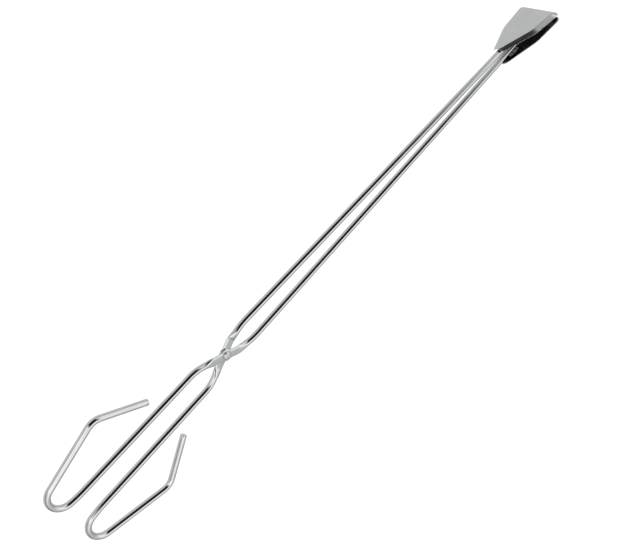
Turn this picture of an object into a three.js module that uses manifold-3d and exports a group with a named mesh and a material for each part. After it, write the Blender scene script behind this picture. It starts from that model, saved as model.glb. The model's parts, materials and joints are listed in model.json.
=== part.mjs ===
// Long crucible tongs: two bent steel rods crossed on a rivet, each with an open
// finger loop at one end and a dished jaw plate welded to the other.
// Units are millimetres. While modelling, +X points from the rivet to the jaws,
// +Z runs up the rivet's axis, and the tongs open and close in the XY plane.
import * as THREE from "three";
import { mergeVertices } from "three/addons/utils/BufferGeometryUtils.js";
import Module from "manifold-3d";

const wasm = await Module();
wasm.setup();

const GAP = 0.3;

// Rod stock and the flat that is forged on it for the rivet.
const ROD_R = 3.175;
const ROD_SIDES = 20;
const END_CHAMFER = 0.8;
const FLAT_THICK = 2.3;
const FLAT_WIDTH = 8.8;
const FLAT_HALF_LENGTH = 14;
const FORGED_HALF_LENGTH = 25;
const EYE_R = 6.2;
const HOLE_R = 2.8;

// Rivet.
const RIVET_R = HOLE_R - GAP;
const HEAD_R = 4.4;
const HEAD_HEIGHT = 2.6;
const TAIL_R = 4;
const TAIL_HEIGHT = 1.6;

// Bends of one arm, from the rivet towards the jaw and from the rivet towards the loop.
const JAW_SIDE = {
  leave: 32,
  reach: 22,
  bendR: 60,
  closeIn: 1.06,
  rodEnd: 438,
};
const GRIP_SIDE = {
  leave: 23.3,
  reach: 33.4,
  bendR: 32,
  flare: 0.35,
  innerRun: 132,
  easeR: 100,
  easeTurn: 8.5,
  loopR: 14,
  loopTurn: 155.3,
  outerRun: 67.8,
  cornerR: 14.7,
  cornerTurn: 52.2,
  endRun: 52.5,
};

// Jaw plate: a five-sided pressed dish with sloping walls, narrow and shallow where the rod enters.
const SHEET = 1;
const JAW = {
  rearX: 413,
  outerY: 10.3,
  slope: 0.055,
  length: 70.3,
  shoulderX: 35,
  rearHalf: 6,
  shoulderHalf: 21.2,
  frontHalf: 24.8,
  cornerR: 5.8,
  depth: 3.8,
  rearDepth: 2.8,
  wallWide: 3.8,
  wallDrop: 3.4,
};

// Weld beads that hold each plate on its rod.
const WELD = { start: 9, length: 14, r: 2.1, side: 3.5, drop: 2.7, endR: 2.5 };

const chrome = () => new THREE.MeshStandardMaterial({ color: 0xd9dbdd, metalness: 1, roughness: 0.12 });
const sheetChrome = () => new THREE.MeshStandardMaterial({ color: 0xc9cbcc, metalness: 1, roughness: 0.28 });
const rivetSteel = () => new THREE.MeshStandardMaterial({ color: 0xd0d2d4, metalness: 1, roughness: 0.2 });
const weldSteel = () => new THREE.MeshStandardMaterial({ color: 0x9a9a98, metalness: 1, roughness: 0.45 });

const radians = THREE.MathUtils.degToRad;

function solid(geometry) {
  const plain = geometry.index ? geometry.toNonIndexed() : geometry.clone();
  plain.deleteAttribute("normal");
  plain.deleteAttribute("uv");
  const merged = mergeVertices(plain, 1e-4);
  return new wasm.Manifold(new wasm.Mesh({
    numProp: 3,
    vertProperties: new Float32Array(merged.attributes.position.array),
    triVerts: new Uint32Array(merged.index.array),
  }));
}

function mesh(name, manifold, material) {
  const out = manifold.getMesh();
  const geometry = new THREE.BufferGeometry();
  geometry.setAttribute("position", new THREE.BufferAttribute(out.vertProperties, 3));
  geometry.setIndex(new THREE.BufferAttribute(out.triVerts, 1));
  geometry.computeVertexNormals();
  const piece = new THREE.Mesh(geometry, material);
  piece.name = name;
  return piece;
}

// Walks straight runs and bends from the rivet and returns the stations passed.
function walk(headingDegrees, runs) {
  const stations = [];
  const at = new THREE.Vector2();
  let heading = radians(headingDegrees);
  let travelled = 0;
  for (const run of runs) {
    const turn = radians(run.turn ?? 0);
    const length = run.length ?? run.radius * Math.abs(turn);
    const fine = travelled < FORGED_HALF_LENGTH ? length / 1.6 : 1;
    const steps = Math.ceil(Math.max(fine, Math.abs(turn) / radians(9)));
    for (let i = 0; i < steps; i += 1) {
      const half = turn / steps / 2;
      const chord = length / steps * (half === 0 ? 1 : Math.sin(half) / half);
      at.add(new THREE.Vector2(Math.cos(heading + half), Math.sin(heading + half)).multiplyScalar(chord));
      heading += 2 * half;
      travelled += length / steps;
      stations.push({ x: at.x, y: at.y, heading, s: travelled, r: ROD_R });
    }
  }
  return stations;
}

// A straight run that ends where the next bend begins, so that lengths are between corners.
const tangent = (radius, turn) => radius * Math.tan(Math.abs(radians(turn)) / 2);

function jawStations() {
  const j = JAW_SIDE;
  const turn = j.leave + j.closeIn;
  const before = j.reach - tangent(j.bendR, turn);
  const stations = walk(-j.leave, [{ length: before }, { radius: j.bendR, turn }, { length: FORGED_HALF_LENGTH }]);
  const last = stations[stations.length - 1];
  const rest = (j.rodEnd - last.x) / Math.cos(last.heading);
  const finish = (length, r) => ({
    x: last.x + length * Math.cos(last.heading),
    y: last.y + length * Math.sin(last.heading),
    heading: last.heading,
    s: last.s + length,
    r,
  });
  return [...stations, finish(rest - END_CHAMFER, ROD_R), finish(rest, ROD_R - END_CHAMFER)];
}

function gripStations() {
  const g = GRIP_SIDE;
  const firstTurn = g.leave - g.flare;
  const corner = tangent(g.cornerR, g.cornerTurn);
  const stations = walk(180 - g.leave, [
    { length: g.reach - tangent(g.bendR, firstTurn) },
    { radius: g.bendR, turn: firstTurn },
    { length: g.innerRun },
    { radius: g.easeR, turn: -g.easeTurn },
    { radius: g.loopR, turn: -g.loopTurn },
    { length: g.outerRun - corner },
    { radius: g.cornerR, turn: -g.cornerTurn },
    { length: g.endRun - corner - END_CHAMFER },
    { length: END_CHAMFER },
  ]);
  stations[stations.length - 1].r = ROD_R - END_CHAMFER;
  return stations;
}

// One arm as a straight bar that is flattened beside the rivet and then bent to its stations.
function armSolid() {
  const turnedRound = jawStations().reverse().map((p) => ({ ...p, heading: p.heading + Math.PI }));
  const bendAtRivet = Math.PI - radians((JAW_SIDE.leave + GRIP_SIDE.leave) / 2);
  const centre = { x: 0, y: 0, heading: bendAtRivet, s: 0, r: ROD_R };
  const stations = [...turnedRound, centre, ...gripStations()];
  const bar = new THREE.CylinderGeometry(1, 1, 1, ROD_SIDES, stations.length - 1);
  const position = bar.attributes.position;
  for (let i = 0; i < position.count; i += 1) {
    const station = stations[Math.round((0.5 - position.getY(i)) * (stations.length - 1))];
    const round = THREE.MathUtils.smoothstep(station.s, FLAT_HALF_LENGTH, FORGED_HALF_LENGTH);
    const eye = Math.sqrt(Math.max(0, EYE_R ** 2 - station.s ** 2));
    const across = THREE.MathUtils.lerp(Math.max(FLAT_WIDTH / 2, eye), station.r, round);
    const thick = THREE.MathUtils.lerp(FLAT_THICK / 2, station.r, round);
    const lift = THREE.MathUtils.lerp((FLAT_THICK + GAP) / 2, 0, round);
    const power = THREE.MathUtils.lerp(0.5, 1, round);
    const squared = (value) => Math.sign(value) * Math.abs(value) ** power;
    const side = squared(position.getX(i)) * across;
    position.setXYZ(
      i,
      station.x - Math.sin(station.heading) * side,
      station.y + Math.cos(station.heading) * side,
      squared(position.getZ(i)) * thick + lift,
    );
  }
  const hole = new THREE.CylinderGeometry(HOLE_R, HOLE_R, 4 * FLAT_THICK, 32).rotateX(Math.PI / 2);
  return solid(bar).subtract(solid(hole));
}

function rivetSolid() {
  const under = FLAT_THICK + GAP / 2 + GAP;
  const profile = new THREE.Path();
  profile.moveTo(0, -under - TAIL_HEIGHT);
  profile.lineTo(TAIL_R - TAIL_HEIGHT, -under - TAIL_HEIGHT);
  profile.quadraticCurveTo(TAIL_R, -under - TAIL_HEIGHT, TAIL_R, -under);
  profile.lineTo(RIVET_R, -under);
  profile.lineTo(RIVET_R, under);
  profile.lineTo(HEAD_R, under);
  profile.bezierCurveTo(HEAD_R, under + HEAD_HEIGHT * 0.6, HEAD_R * 0.6, under + HEAD_HEIGHT, 0, under + HEAD_HEIGHT);
  return solid(new THREE.LatheGeometry(profile.getPoints(10), 32).rotateX(Math.PI / 2));
}

// The five-sided outline of a jaw plate, drawn in by an inset, with rounded front corners. It runs
// on behind the rear edge at x = 0, where the plate is cut off.
function jawOutline(inset) {
  const { length, shoulderX, rearHalf, shoulderHalf, frontHalf, cornerR, wallWide } = JAW;
  const end = length - inset;
  const front = frontHalf - inset;
  const shoulder = shoulderHalf - inset;
  const rear = rearHalf - inset;
  const r = cornerR - inset;
  const shape = new THREE.Shape();
  shape.moveTo(-2 * wallWide, -rear);
  shape.lineTo(0, -rear);
  shape.lineTo(shoulderX, -shoulder);
  shape.absarc(end - r, -front + r, r, -Math.PI / 2, 0);
  shape.absarc(end - r, front - r, r, 0, Math.PI / 2);
  shape.lineTo(shoulderX, shoulder);
  shape.lineTo(0, rear);
  shape.lineTo(-2 * wallWide, rear);
  return shape;
}

// A slab of the given outline with its top at z = 0, walls that slope out below it, and a flat underside.
function slopedSlab(shape, depth) {
  const geometry = new THREE.ExtrudeGeometry(shape, {
    depth: 2 * depth,
    curveSegments: 6,
    bevelThickness: JAW.wallDrop,
    bevelSize: JAW.wallWide,
    bevelOffset: -JAW.wallWide,
    bevelSegments: 1,
  });
  geometry.translate(0, 0, -2 * depth - JAW.wallDrop);
  const keep = new THREE.BoxGeometry(4 * JAW.length, 4 * JAW.frontHalf, 2 * depth);
  return solid(geometry).intersect(solid(keep));
}

// Everything below the line on which the rim gets shallower towards the rear.
function belowRearRim() {
  const box = new THREE.BoxGeometry(2 * JAW.length, 4 * JAW.frontHalf, 4 * JAW.depth);
  box.translate(0, 0, -2 * JAW.depth);
  box.rotateY(Math.atan2(JAW.depth - JAW.rearDepth, JAW.shoulderX)).translate(0, 0, -JAW.rearDepth);
  return solid(box);
}

// Jaw plate with its outer face on z = 0, its rear edge at x = 0 and its rim hanging down.
function jawSolid() {
  const dish = slopedSlab(jawOutline(0), JAW.depth);
  const hollow = slopedSlab(jawOutline(SHEET), JAW.depth + SHEET);
  const behind = new THREE.BoxGeometry(JAW.length, 4 * JAW.frontHalf, 4 * JAW.depth);
  behind.translate(-JAW.length / 2, 0, 0);
  return dish.subtract(hollow.translate(0, 0, -SHEET)).subtract(belowRearRim()).subtract(solid(behind));
}

// What a weld bead may not fill: the rod with its gap, and everything above the plate's inner face.
function weldLimits() {
  const lean = JAW.slope - Math.tan(radians(JAW_SIDE.closeIn));
  const keepOff = new THREE.CylinderGeometry(ROD_R + GAP, ROD_R + GAP, 2 * JAW_SIDE_AT_JAW.inside, ROD_SIDES * 2);
  keepOff.rotateZ(-Math.PI / 2).rotateY(-lean).translate(0, 0, JAW_SIDE_AT_JAW.y - JAW.outerY);
  const above = new THREE.BoxGeometry(3 * JAW.length, 3 * JAW.frontHalf, 2 * JAW.depth);
  above.translate(0, 0, JAW.depth - SHEET - GAP);
  return solid(keepOff).add(solid(above));
}

// How far the rod reaches into its plate, and how far off the closing plane it lies at the plate's rear.
const JAW_SIDE_AT_JAW = (() => {
  const stations = jawStations();
  const end = stations[stations.length - 1];
  const inside = end.x - JAW.rearX + (JAW.outerY + end.y) * JAW.slope + GAP;
  return { inside, y: -end.y + (end.x - JAW.rearX) * Math.tan(radians(JAW_SIDE.closeIn)) };
})();

function sideWeld(side) {
  const bead = new THREE.CapsuleGeometry(WELD.r, WELD.length, 4, 12);
  bead.rotateZ(Math.PI / 2).translate(WELD.start + WELD.length / 2, side * WELD.side, -WELD.drop);
  return solid(bead).subtract(weldLimits());
}

function endWeld() {
  const bead = new THREE.SphereGeometry(WELD.endR, 16, 10);
  bead.translate(JAW_SIDE_AT_JAW.inside + WELD.endR / 3, 0, -WELD.drop - GAP);
  return solid(bead).subtract(weldLimits());
}

// One arm with its jaw plate and welds; the plate faces -Y, away from the other jaw.
function armGroup(name) {
  const group = new THREE.Group();
  group.add(mesh(`${name}_arm`, armSolid(), chrome()));
  const jaw = new THREE.Group();
  jaw.add(mesh(`${name}_jaw_plate`, jawSolid(), sheetChrome()));
  jaw.add(mesh(`${name}_jaw_weld_a`, sideWeld(1), weldSteel()));
  jaw.add(mesh(`${name}_jaw_weld_b`, sideWeld(-1), weldSteel()));
  jaw.add(mesh(`${name}_jaw_weld_end`, endWeld(), weldSteel()));
  jaw.position.set(JAW.rearX, -JAW.outerY, 0);
  jaw.rotation.set(Math.PI / 2, 0, Math.atan(JAW.slope), "ZYX");
  group.add(jaw);
  return group;
}

const tongs = new THREE.Group();
const upper = armGroup("upper");
const lower = armGroup("lower");
lower.rotation.x = Math.PI;
tongs.add(upper, lower, mesh("pivot_rivet", rivetSolid(), rivetSteel()));

// The origin is put under the middle of the whole tool.
tongs.updateMatrixWorld(true);
const box = new THREE.Box3().setFromObject(tongs, true);
const middle = box.getCenter(new THREE.Vector3());
tongs.position.set(-middle.x, -middle.y, -box.min.z);

export default tongs;
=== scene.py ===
import json
import math

import bmesh
import bpy
from mathutils import Matrix, Vector


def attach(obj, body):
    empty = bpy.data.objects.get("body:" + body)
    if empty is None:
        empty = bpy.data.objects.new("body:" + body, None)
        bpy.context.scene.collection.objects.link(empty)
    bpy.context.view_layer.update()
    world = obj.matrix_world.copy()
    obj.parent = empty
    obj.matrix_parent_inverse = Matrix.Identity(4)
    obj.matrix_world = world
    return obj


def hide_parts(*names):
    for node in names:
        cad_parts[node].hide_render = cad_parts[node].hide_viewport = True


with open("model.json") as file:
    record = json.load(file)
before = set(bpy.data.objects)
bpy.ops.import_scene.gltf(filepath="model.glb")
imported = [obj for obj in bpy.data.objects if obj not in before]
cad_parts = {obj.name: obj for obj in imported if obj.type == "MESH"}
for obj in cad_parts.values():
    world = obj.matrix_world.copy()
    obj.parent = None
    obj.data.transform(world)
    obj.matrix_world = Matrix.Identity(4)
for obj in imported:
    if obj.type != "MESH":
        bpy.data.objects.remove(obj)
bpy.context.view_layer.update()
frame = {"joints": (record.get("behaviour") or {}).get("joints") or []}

MM = 0.001

# The rivet's axis and the level where the two flats meet come from the joint.
PIVOT = Vector(frame["joints"][0]["pos_m"])

# Rod stock and the flat forged on it. The flat ends in a small step, and then a ramp rises
# from it to the full bar.
ROD_R = 3.175 * MM
ROD_SIDES = 48
FLAT_THICK = 2.3 * MM
FLAT_WIDTH = 8.8 * MM
FLAT_HALF_LENGTH = 14 * MM
STEP_END = 17.5 * MM
STEP_SHARE = 0.4
FORGED_HALF_LENGTH = 25 * MM
EYE_R = 6.2 * MM
HOLE_R = 2.8 * MM
GAP = 0.3 * MM
END_ROUND = 0.8 * MM
SECTION_POWER = 0.62

# Spacing of the bar's rings on long straight runs and everywhere else.
LONG_STEP = 4 * MM
FINE_STEP = 0.7 * MM

# The arm from the rivet to the jaw: it leaves at an angle, then one bend turns it along the
# tool and a little towards the other arm. Angles are in degrees.
JAW_LEAVE = 32
JAW_REACH = 22 * MM
JAW_BEND_R = 60 * MM
JAW_CLOSE_IN = 1.06
JAW_ROD_END = 438 * MM

# The arm from the rivet to the end of its finger loop.
GRIP_LEAVE = 23.3
GRIP_REACH = 33.4 * MM
GRIP_BEND_R = 32 * MM
GRIP_FLARE = 0.35
INNER_RUN = 132 * MM
EASE_R = 100 * MM
EASE_TURN = 8.5
LOOP_R = 14 * MM
LOOP_TURN = 155.3
OUTER_RUN = 67.8 * MM
CORNER_R = 14.7 * MM
CORNER_TURN = 52.2
END_RUN = 52.5 * MM

# Jaw plate: where its rear stands on the arm, its outline from the rear to the front, its
# corners, and its sheet. The front edge's own points fill a share of the way to its corner.
JAW_REAR_X = 413 * MM
JAW_OUTER_Y = 10.3 * MM
JAW_SLOPE = 0.055
JAW_LENGTH = 70.3 * MM
SHOULDER_X = 35 * MM
REAR_HALF = 6 * MM
SHOULDER_HALF = 21.2 * MM
FRONT_HALF = 24.8 * MM
SHOULDER_BEND = 5 * MM
JAW_CORNER_R = 5.8 * MM
LEAST_CORNER_R = 1.2 * MM
FRONT_SHARE = 0.92
JAW_DEPTH = 3.8 * MM
JAW_REAR_DEPTH = 2.8 * MM
SHEET = 1 * MM
RIM_BEVEL = 0.25 * MM
RIM_ANGLE = 50

# Rivet: a domed head above, a peened tail below, and the small round under each one's edge.
HEAD_R = 4.4 * MM
DOME_HEIGHT = 1.9 * MM
DOME_POWER = 0.8
TAIL_R = 4 * MM
TAIL_DOME_HEIGHT = 1.3 * MM
EDGE_IN = 0.97
EDGE_RISE = 0.2 * MM
EDGE_HEIGHT = 0.3 * MM
HEAD_CLEARANCE = 0.05 * MM

# Weld beads beside the rod, measured on the plate from its rear.
BEAD_START = 9 * MM
BEAD_LENGTH = 14 * MM
BEAD_STEPS = 70
BEAD_R = 1.9 * MM
BEAD_LEAST_R = 0.15 * MM
BEAD_HEIGHT_SHARE = 0.85
BEAD_SIDE = 3.3 * MM
BEAD_REAR_DROP = 2.75 * MM
BEAD_FRONT_DROP = 2.45 * MM
RIPPLES = 11
RIPPLE_DEPTH = 0.07

# Weld blob over the rod's end.
BLOB_PAST_END = 0.9 * MM
BLOB_R = 2.3 * MM
BLOB_HALF_WIDTH = 2.9 * MM
BLOB_DROP = 3.1 * MM
BLOB_UNEVENNESS = 0.05

# Metal: the span of the cloudy noise that is used, how fine each noise is, and how high the
# waves and scratches stand.
CLOUD_LOW = 0.3
CLOUD_HIGH = 0.7
CLOUD_SCALE = 90
WAVE_SCALE = 60
WAVE_HEIGHT = 0.4 * MM
SCRATCH_SCALE = 1400
SCRATCH_HEIGHT = 0.02 * MM

# Studio: the floor, then the brightness of the white ground for the camera, of the floor in
# reflections, and of the room's unlit side.
FLOOR_HALF_SIZE = 30
FLOOR_BELOW = 2 * MM
CAMERA_WHITE = 1.1
FLOOR_GLOW = 0.6
UNLIT = 0.015

# Camera: where it stands from the rivet, which way it looks, and which way is up in its view.
CAMERA_FROM_PIVOT = Vector((-0.079, 0.559, 0.594))
CAMERA_LOOK = Vector((0.228, -0.671, -0.705))
CAMERA_UP = Vector((0.717, 0.606, -0.345))
CAMERA_LENS = 51.5
CAMERA_SHIFT = 0.0004


def new_object(name, bm):
    mesh = bpy.data.meshes.new(name)
    bmesh.ops.recalc_face_normals(bm, faces=bm.faces)
    bm.to_mesh(mesh)
    bm.free()
    mesh.polygons.foreach_set("use_smooth", [True] * len(mesh.polygons))
    obj = bpy.data.objects.new(name, mesh)
    bpy.context.scene.collection.objects.link(obj)
    return obj


def loft(name, rings):
    """A closed skin through rings of points, with a fan of faces over each end."""
    bm = bmesh.new()
    grid = [[bm.verts.new(p) for p in ring] for ring in rings]
    count = len(grid[0])
    for a, b in zip(grid, grid[1:]):
        for i in range(count):
            j = (i + 1) % count
            bm.faces.new((a[i], a[j], b[j], b[i]))
    for ring in (grid[0], grid[-1]):
        middle = bm.verts.new(sum((v.co for v in ring), Vector()) / count)
        for i in range(count):
            bm.faces.new((ring[i], ring[(i + 1) % count], middle))
    return new_object(name, bm)


def circle(count):
    """Angles evenly spaced round a circle."""
    return [2 * math.pi * i / count for i in range(count)]


def smoothstep(x, low, high):
    t = min(1, max(0, (x - low) / (high - low)))
    return t * t * (3 - 2 * t)


def mix(a, b, t):
    return a + (b - a) * t


# ---- arms ----

def walk(heading, runs):
    """Stations (x, y, heading, distance) passed from the rivet. A run is a length, a bend's
    radius and its turn: a straight run has no radius, and a bend's length comes from its turn."""
    stations, x, y, travelled = [], 0.0, 0.0, 0.0
    heading = math.radians(heading)
    for length, radius, degrees in runs:
        turn = math.radians(degrees)
        length = radius * abs(turn) if radius else length
        step = FINE_STEP if radius or travelled < FORGED_HALF_LENGTH else LONG_STEP
        steps = max(1, math.ceil(length / step))
        for _ in range(steps):
            half = turn / steps / 2
            chord = length / steps * (math.sin(half) / half if half else 1)
            x += chord * math.cos(heading + half)
            y += chord * math.sin(heading + half)
            heading += 2 * half
            travelled += length / steps
            stations.append((x, y, heading, travelled))
    return stations


def tangent(radius, degrees):
    """How far before its corner a bend begins."""
    return radius * math.tan(math.radians(abs(degrees)) / 2)


def jaw_side():
    """Stations from the rivet to the bar's end inside the jaw."""
    turn = JAW_LEAVE + JAW_CLOSE_IN
    runs = [(JAW_REACH - tangent(JAW_BEND_R, turn), 0, 0), (0, JAW_BEND_R, turn)]
    bend_end_x = walk(-JAW_LEAVE, runs)[-1][0]
    rest = (JAW_ROD_END - bend_end_x) / math.cos(math.radians(JAW_CLOSE_IN))
    return walk(-JAW_LEAVE, [*runs, (rest, 0, 0)])


def grip_side():
    """Stations from the rivet to the end of the finger loop."""
    first_turn = GRIP_LEAVE - GRIP_FLARE
    corner = tangent(CORNER_R, CORNER_TURN)
    return walk(180 - GRIP_LEAVE, [
        (GRIP_REACH - tangent(GRIP_BEND_R, first_turn), 0, 0),
        (0, GRIP_BEND_R, first_turn),
        (INNER_RUN, 0, 0),
        (0, EASE_R, -EASE_TURN),
        (0, LOOP_R, -LOOP_TURN),
        (OUTER_RUN - corner, 0, 0),
        (0, CORNER_R, -CORNER_TURN),
        (END_RUN - corner, 0, 0),
    ])


def section(x, y, heading, s, radius):
    """One ring of the bar: round, or flattened and lifted to its layer beside the rivet. It
    has a wider eye round the rivet's hole."""
    narrowing = smoothstep(s, FLAT_HALF_LENGTH, FORGED_HALF_LENGTH)
    rounding = mix(narrowing, smoothstep(s, FLAT_HALF_LENGTH, STEP_END), STEP_SHARE)
    eye = math.sqrt(max(0, EYE_R ** 2 - s ** 2))
    across = mix(max(FLAT_WIDTH / 2, eye), radius, narrowing)
    thick = mix(FLAT_THICK / 2, radius, rounding)
    lift = mix((FLAT_THICK + GAP) / 2, 0, rounding)
    power = mix(SECTION_POWER, 1, rounding)
    ring = []
    for angle in circle(ROD_SIDES):
        c, d = math.cos(angle), math.sin(angle)
        side = math.copysign(abs(c) ** power, c) * across
        rise = math.copysign(abs(d) ** power, d) * thick + lift
        ring.append(Vector((x - math.sin(heading) * side, y + math.cos(heading) * side, rise)))
    return ring


def rounded_end(station, forwards):
    """Rings that round off the cut end of the bar."""
    x, y, heading, s = station
    direction = heading if forwards else heading + math.pi
    steps = 5
    rings = []
    for k in range(1, steps + 1):
        a = math.pi / 2 * k / steps
        back = END_ROUND * (math.sin(a) - 1)
        radius = ROD_R - END_ROUND * (1 - math.cos(a))
        ring_x = x + back * math.cos(direction)
        ring_y = y + back * math.sin(direction)
        rings.append(section(ring_x, ring_y, heading, s, radius))
    return rings


def arm_rings():
    """Every ring of one arm, from the end inside the jaw to the end of the finger loop."""
    jaw = [(x, y, heading + math.pi, s) for x, y, heading, s in reversed(jaw_side())]
    grip = grip_side()
    middle = math.pi - math.radians((JAW_LEAVE + GRIP_LEAVE) / 2)
    stations = [*jaw[1:], (0, 0, middle, 0), *grip[:-1]]
    start = rounded_end(jaw[0], False)
    end = rounded_end(grip[-1], True)
    return [*reversed(start), *(section(*p, ROD_R) for p in stations), *end]


def placed(points, under):
    """Moves points from the rivet to the frame; the lower arm is the upper one turned over."""
    flip = -1 if under else 1
    return [PIVOT + Vector((p.x, flip * p.y, flip * p.z)) for p in points]


def cut_hole(obj):
    """Cuts the rivet's hole through the flat."""
    ring = [Vector((HOLE_R * math.cos(a), HOLE_R * math.sin(a), 0)) + PIVOT for a in circle(48)]
    tall = Vector((0, 0, 4 * FLAT_THICK))
    cutter = loft("cutter", [[p - tall for p in ring], [p + tall for p in ring]])
    cut = obj.modifiers.new("hole", "BOOLEAN")
    cut.operation = "DIFFERENCE"
    cut.object = cutter
    cut.solver = "EXACT"
    bpy.context.view_layer.update()
    mesh = bpy.data.meshes.new_from_object(obj.evaluated_get(bpy.context.evaluated_depsgraph_get()))
    obj.modifiers.remove(cut)
    obj.data = mesh
    bpy.data.objects.remove(cutter)


def make_arm(name, under):
    arm = loft(f"{name}_rod", [placed(ring, under) for ring in arm_rings()])
    cut_hole(arm)
    return arm


# ---- jaw plates ----

def jaw_frame(under):
    """Puts a jaw point (along, across, outwards) on its arm."""
    lean = math.atan(JAW_SLOPE)
    along = Vector((math.cos(lean), math.sin(lean), 0))
    outwards = Vector((math.sin(lean), -math.cos(lean), 0))
    start = Vector((JAW_REAR_X, -JAW_OUTER_Y, 0))
    up = Vector((0, 0, 1))
    return lambda x, y, z: placed([start + along * x + up * y + outwards * z], under)[0]


def arc(cx, cy, r, start, end, steps):
    """Points on an arc round a centre, between two angles in degrees."""
    return [(cx + r * math.cos(a), cy + r * math.sin(a))
            for a in (math.radians(mix(start, end, i / steps)) for i in range(steps + 1))]


def between(a, b, t):
    """The point a share t of the way from one point to another."""
    return mix(a[0], b[0], t), mix(a[1], b[1], t)


def half_outline(inset, front_inset):
    """Right half of the plate's outline from the middle of its front to its rear corner."""
    taper = math.atan2(SHOULDER_HALF - REAR_HALF, SHOULDER_X)
    flare = math.atan2(FRONT_HALF - SHOULDER_HALF, JAW_LENGTH - SHOULDER_X)
    shoulder = SHOULDER_HALF - inset
    front = FRONT_HALF - inset
    end = JAW_LENGTH - front_inset
    r = max(JAW_CORNER_R - (inset + front_inset) / 2, LEAST_CORNER_R)
    bend = (SHOULDER_X, shoulder)
    before = (SHOULDER_X + SHOULDER_BEND, shoulder + SHOULDER_BEND * math.tan(flare))
    after = (SHOULDER_X - SHOULDER_BEND, shoulder - SHOULDER_BEND * math.tan(taper))
    rear = (0, shoulder - SHOULDER_X * math.tan(taper))
    points = [(end, (front - r) * FRONT_SHARE * i / 6) for i in range(7)]
    points += arc(end - r, front - r, r, 0, 90 - math.degrees(flare), 10)
    side = points[-1]
    points += [between(side, before, i / 6) for i in range(1, 7)]
    for t in (i / 8 for i in range(1, 8)):
        points.append(between(between(before, bend, t), between(bend, after, t), t))
    points += [between(after, rear, i / 10) for i in range(11)]
    return points


# The pressed section from the flat top to the rim: inset from the side, inset from the
# front, and depth below the outer face.
JAW_LEVELS = [
    (5.0 * MM, 6.5 * MM, 0.0),
    (4.6 * MM, 5.4 * MM, 0.06 * MM),
    (4.1 * MM, 4.4 * MM, 0.3 * MM),
    (3.4 * MM, 3.5 * MM, 0.8 * MM),
    (2.5 * MM, 2.5 * MM, 1.5 * MM),
    (1.6 * MM, 1.6 * MM, 2.2 * MM),
    (0.8 * MM, 0.8 * MM, 2.85 * MM),
    (0.2 * MM, 0.2 * MM, 3.4 * MM),
    (0.0, 0.0, JAW_DEPTH),
]


def shallowing(x):
    """How much of its full depth the dish has at a distance from its rear."""
    return mix(JAW_REAR_DEPTH / JAW_DEPTH, 1, min(1, x / SHOULDER_X))


def make_jaw(name, under):
    """A dish of one skin, thickened inwards; its narrow rear is open for the rod."""
    place = jaw_frame(under)
    bm = bmesh.new()
    rows = []
    for inset, front_inset, depth in JAW_LEVELS:
        half = half_outline(inset, front_inset)
        whole = [(x, -y) for x, y in reversed(half[1:])] + half
        rows.append([bm.verts.new(place(x, y, -depth * shallowing(x))) for x, y in whole])
    for a, b in zip(rows, rows[1:]):
        for i in range(len(a) - 1):
            bm.faces.new((a[i], a[i + 1], b[i + 1], b[i]))
    # The flat top is filled by strips from one side to the other.
    top = rows[0]
    last = len(top) - 1
    for i in range(last // 2):
        quad = [top[i], top[i + 1], top[last - i - 1], top[last - i]]
        if quad[1] is quad[2]:
            quad.pop(1)
        bm.faces.new(quad)
    jaw = new_object(f"{name}_jaw", bm)
    centre = place(JAW_LENGTH / 2, 0, 0)
    outward = place(JAW_LENGTH / 2, 0, 1) - centre
    face = min(jaw.data.polygons, key=lambda p: (p.center - centre).length)
    if face.normal.dot(outward) < 0:
        jaw.data.flip_normals()
    thick = jaw.modifiers.new("sheet", "SOLIDIFY")
    thick.thickness = SHEET
    thick.offset = -1
    thick.use_even_offset = True
    # The inner skin takes the second material, which is painted shade for the dish's hollow.
    thick.material_offset = 1
    edge = jaw.modifiers.new("edge", "BEVEL")
    edge.width = RIM_BEVEL
    edge.segments = 2
    edge.limit_method = "ANGLE"
    edge.angle_limit = math.radians(RIM_ANGLE)
    return jaw


# ---- rivet and welds ----

def make_rivet():
    """A shank through both flats, with a peened tail below them and a domed head above."""
    under = FLAT_THICK + GAP / 2 + HEAD_CLEARANCE
    shank = HOLE_R - GAP
    tail = [(shank, -under), (TAIL_R * EDGE_IN, -under), (TAIL_R, -under - EDGE_RISE)]
    tail += [(TAIL_R * math.cos(a), -under - EDGE_HEIGHT - TAIL_DOME_HEIGHT * math.sin(a))
             for a in (math.radians(10 * i) for i in range(1, 9))]
    head = [(shank, under), (HEAD_R * EDGE_IN, under), (HEAD_R, under + EDGE_RISE)]
    head += [(HEAD_R * math.cos(a) ** DOME_POWER, under + EDGE_HEIGHT + DOME_HEIGHT * math.sin(a))
             for a in (math.radians(7 * i) for i in range(1, 13))]
    return loft("rivet", [[PIVOT + Vector((r * math.cos(a), r * math.sin(a), z)) for a in circle(64)]
                          for r, z in [*reversed(tail), *head]])


def make_side_weld(name, under, side):
    """A rippled bead in the corner between the rod and the plate."""
    place = jaw_frame(under)
    rings = []
    for t in (i / BEAD_STEPS for i in range(BEAD_STEPS + 1)):
        swell = math.sqrt(max(0.0, 1 - (2 * t - 1) ** 8))
        ripple = 1 + RIPPLE_DEPTH * abs(math.sin(t * math.pi * RIPPLES))
        r = max(BEAD_LEAST_R, BEAD_R * swell * ripple)
        drop = mix(BEAD_REAR_DROP, BEAD_FRONT_DROP, t)
        rings.append([place(
            BEAD_START + BEAD_LENGTH * t,
            side * BEAD_SIDE + r * math.cos(a),
            r * BEAD_HEIGHT_SHARE * math.sin(a) - drop,
        ) for a in circle(24)])
    return loft(name, rings)


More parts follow.
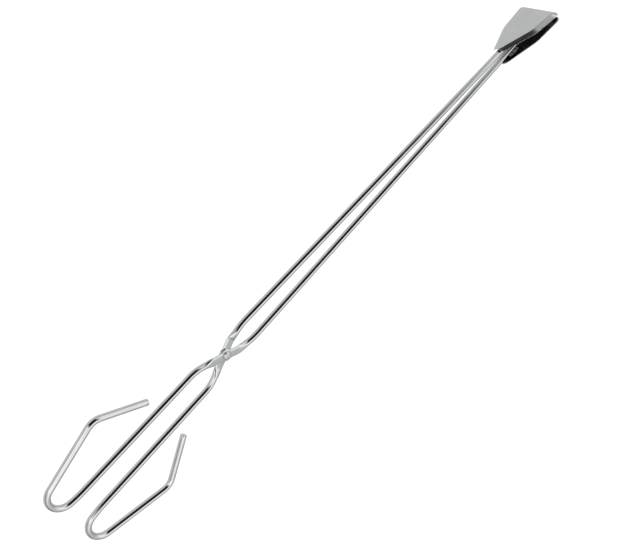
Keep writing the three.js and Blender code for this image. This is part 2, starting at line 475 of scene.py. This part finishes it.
def make_end_weld(name, under):
    """A rounded blob over the rod's cut end."""
    place = jaw_frame(under)
    middle = JAW_ROD_END - JAW_REAR_X + BLOB_PAST_END
    rings = []
    for polar in (math.pi * i / 20 for i in range(1, 20)):
        rings.append([place(
            middle + BLOB_R * math.sin(polar) * math.cos(a) * (1 + BLOB_UNEVENNESS * math.sin(3 * a)),
            BLOB_HALF_WIDTH * math.sin(polar) * math.sin(a),
            BLOB_R * math.cos(polar) - BLOB_DROP,
        ) for a in circle(32)])
    return loft(name, rings)


# ---- materials ----

def socket(node, name, value):
    node.inputs[name].default_value = value


def noise(nodes, links, vector, scale, detail):
    node = nodes.new("ShaderNodeTexNoise")
    socket(node, "Scale", scale)
    socket(node, "Detail", detail)
    links.new(vector, node.inputs["Vector"])
    return node.outputs["Fac"]


def metal(name, dark, light, roughness, unevenness, scratch, lump, stretch):
    """Chromed steel: faint tone changes, uneven polish, drawn scratches and slight waviness."""
    material = bpy.data.materials.new(name)
    material.use_nodes = True
    nodes, links = material.node_tree.nodes, material.node_tree.links
    shader = nodes["Principled BSDF"]
    socket(shader, "Metallic", 1.0)
    socket(shader, "Specular IOR Level", 0.5)
    place = nodes.new("ShaderNodeTexCoord").outputs["Object"]
    drawn = nodes.new("ShaderNodeMapping")
    socket(drawn, "Scale", stretch)
    links.new(place, drawn.inputs["Vector"])

    cloud = noise(nodes, links, place, CLOUD_SCALE, 4.0)
    tone = nodes.new("ShaderNodeValToRGB")
    ends = tone.color_ramp.elements
    for end, position, colour in ((ends[0], CLOUD_LOW, dark), (ends[1], CLOUD_HIGH, light)):
        end.position = position
        end.color = (*colour, 1)
    links.new(cloud, tone.inputs["Fac"])
    links.new(tone.outputs["Color"], shader.inputs["Base Color"])

    polish = nodes.new("ShaderNodeMapRange")
    socket(polish, "From Min", CLOUD_LOW)
    socket(polish, "From Max", CLOUD_HIGH)
    socket(polish, "To Min", roughness)
    socket(polish, "To Max", roughness + unevenness)
    links.new(cloud, polish.inputs["Value"])
    links.new(polish.outputs["Result"], shader.inputs["Roughness"])

    wave = noise(nodes, links, place, WAVE_SCALE, 1.0)
    fine = noise(nodes, links, drawn.outputs["Vector"], SCRATCH_SCALE, 3.0)
    normal = None
    for height, strength, distance in ((wave, lump, WAVE_HEIGHT), (fine, scratch, SCRATCH_HEIGHT)):
        bump = nodes.new("ShaderNodeBump")
        socket(bump, "Strength", strength)
        socket(bump, "Distance", distance)
        links.new(height, bump.inputs["Height"])
        if normal:
            links.new(normal, bump.inputs["Normal"])
        normal = bump.outputs["Normal"]
    links.new(normal, shader.inputs["Normal"])
    return material


def finish_piece(piece, materials, body, node):
    """Gives a piece its materials, hides the CAD node it stands for and hangs the piece on its body.
    """
    piece.data.materials.clear()
    for material in materials:
        piece.data.materials.append(material)
    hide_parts(node)
    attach(piece, body)


rod_chrome = metal(
    "rod_chrome", dark=(0.76, 0.77, 0.78), light=(0.84, 0.85, 0.86),
    roughness=0.07, unevenness=0.05, scratch=0.15, lump=0.03, stretch=(1, 8, 8),
)
jaw_chrome = metal(
    "jaw_chrome", dark=(0.74, 0.75, 0.75), light=(0.8, 0.81, 0.81),
    roughness=0.2, unevenness=0.08, scratch=0.25, lump=0.08, stretch=(2, 6, 6),
)
rivet_chrome = metal(
    "rivet_chrome", dark=(0.72, 0.73, 0.74), light=(0.82, 0.83, 0.84),
    roughness=0.32, unevenness=0.08, scratch=0.3, lump=0.12, stretch=(4, 4, 4),
)
# The inside of each jaw's dish is painted near-black: painted shade for the shadow in the dish's
# hollow, not a colour of the chrome.
jaw_inside_painted_shade = metal(
    "jaw_inside_painted_shade", dark=(0.035, 0.035, 0.035), light=(0.1, 0.098, 0.095),
    roughness=0.34, unevenness=0.2, scratch=0.4, lump=0.2, stretch=(3, 3, 3),
)
weld_metal = metal(
    "weld_metal", dark=(0.34, 0.32, 0.3), light=(0.6, 0.58, 0.55),
    roughness=0.32, unevenness=0.2, scratch=0.5, lump=0.3, stretch=(5, 5, 5),
)

for name, under in (("upper", False), ("lower", True)):
    body = f"{name}_arm_body"
    finish_piece(make_arm(name, under), [rod_chrome], body, f"{name}_arm")
    # Each jaw's inner skin gets the painted shade of its hollow.
    finish_piece(make_jaw(name, under), [jaw_chrome, jaw_inside_painted_shade], body, f"{name}_jaw_plate")
    for letter, side in (("a", 1), ("b", -1)):
        weld = make_side_weld(f"{name}_weld_{letter}", under, side)
        finish_piece(weld, [weld_metal], body, f"{name}_jaw_weld_{letter}")
    weld = make_end_weld(f"{name}_weld_end", under)
    finish_piece(weld, [weld_metal], body, f"{name}_jaw_weld_end")
finish_piece(make_rivet(), [rivet_chrome], "upper_arm_body", "pivot_rivet")


# ---- studio ----

def emission(nodes, strength):
    """A white glow."""
    node = nodes.new("ShaderNodeEmission")
    socket(node, "Color", (1, 1, 1, 1))
    socket(node, "Strength", strength)
    return node.outputs[0]


def white_floor():
    """A wide white ground that casts a softer glow into the metal than the camera sees."""
    bm = bmesh.new()
    bmesh.ops.create_grid(bm, x_segments=1, y_segments=1, size=FLOOR_HALF_SIZE)
    bmesh.ops.translate(bm, verts=bm.verts, vec=(0, 0, -FLOOR_BELOW))
    floor = new_object("floor", bm)
    material = bpy.data.materials.new("floor_white")
    material.use_nodes = True
    nodes, links = material.node_tree.nodes, material.node_tree.links
    nodes.remove(nodes["Principled BSDF"])
    path = nodes.new("ShaderNodeLightPath")
    blend = nodes.new("ShaderNodeMixShader")
    links.new(path.outputs["Is Camera Ray"], blend.inputs[0])
    links.new(emission(nodes, FLOOR_GLOW), blend.inputs[1])
    links.new(emission(nodes, CAMERA_WHITE), blend.inputs[2])
    links.new(blend.outputs[0], nodes["Material Output"].inputs["Surface"])
    floor.data.materials.append(material)


def studio_world():
    """A plain white ground for the camera; the metal reflects a pale room with one unlit side."""
    world = bpy.data.worlds.new("studio")
    bpy.context.scene.world = world
    world.use_nodes = True
    nodes, links = world.node_tree.nodes, world.node_tree.links
    where = nodes.new("ShaderNodeTexCoord")
    split = nodes.new("ShaderNodeSeparateXYZ")
    links.new(where.outputs["Generated"], split.inputs[0])

    def edge(axis, low, high, from_value, to_value):
        """A soft step along one axis of the direction."""
        step = nodes.new("ShaderNodeMapRange")
        step.interpolation_type = "SMOOTHSTEP"
        socket(step, "From Min", low)
        socket(step, "From Max", high)
        socket(step, "To Min", from_value)
        socket(step, "To Max", to_value)
        links.new(split.outputs[axis], step.inputs["Value"])
        return step.outputs["Result"]

    def times(a, b):
        node = nodes.new("ShaderNodeMath")
        node.operation = "MULTIPLY"
        links.new(a, node.inputs[0])
        links.new(b, node.inputs[1])
        return node.outputs[0]

    def mixed(factor, from_socket, to_value):
        node = nodes.new("ShaderNodeMix")
        node.data_type = "FLOAT"
        links.new(factor, node.inputs[0])
        links.new(from_socket, node.inputs[2])
        node.inputs[3].default_value = to_value
        return node.outputs[0]

    # The unlit side is a patch on the camera's side, bounded left, right and towards the back.
    unlit_across = times(edge("X", -0.42, -0.12, 0, 1), edge("X", 0.4, 0.6, 1, 0))
    unlit = times(unlit_across, edge("Y", -0.05, 0.2, 0, 1))
    # The room is darker at the back and near the horizon, and a little darker at both ends.
    depth = times(edge("Y", -0.75, -0.2, 0.52, 1.1), edge("Z", 0.05, 0.4, 0.12, 1))
    ends = times(edge("X", -0.8, -0.45, 0.5, 1), edge("X", 0.15, 0.5, 1, 0.85))
    room = mixed(unlit, times(depth, ends), UNLIT)
    seen = nodes.new("ShaderNodeLightPath").outputs["Is Camera Ray"]
    links.new(mixed(seen, room, CAMERA_WHITE), nodes["Background"].inputs["Strength"])
    socket(nodes["Background"], "Color", (1, 1, 1, 1))


def make_camera():
    right = CAMERA_LOOK.cross(CAMERA_UP).normalized()
    up = right.cross(CAMERA_LOOK).normalized()
    back = -CAMERA_LOOK.normalized()
    data = bpy.data.cameras.new("camera")
    data.lens = CAMERA_LENS
    data.sensor_width = 36
    data.shift_x = -CAMERA_SHIFT
    data.shift_y = CAMERA_SHIFT
    data.clip_start = 0.01
    data.clip_end = 100
    camera = bpy.data.objects.new("camera", data)
    turned = Matrix((right, up, back)).transposed().to_4x4()
    camera.matrix_world = Matrix.Translation(PIVOT + CAMERA_FROM_PIVOT) @ turned
    bpy.context.scene.collection.objects.link(camera)
    bpy.context.scene.camera = camera


white_floor()
studio_world()
make_camera()
bpy.context.scene.view_settings.view_transform = "Standard"
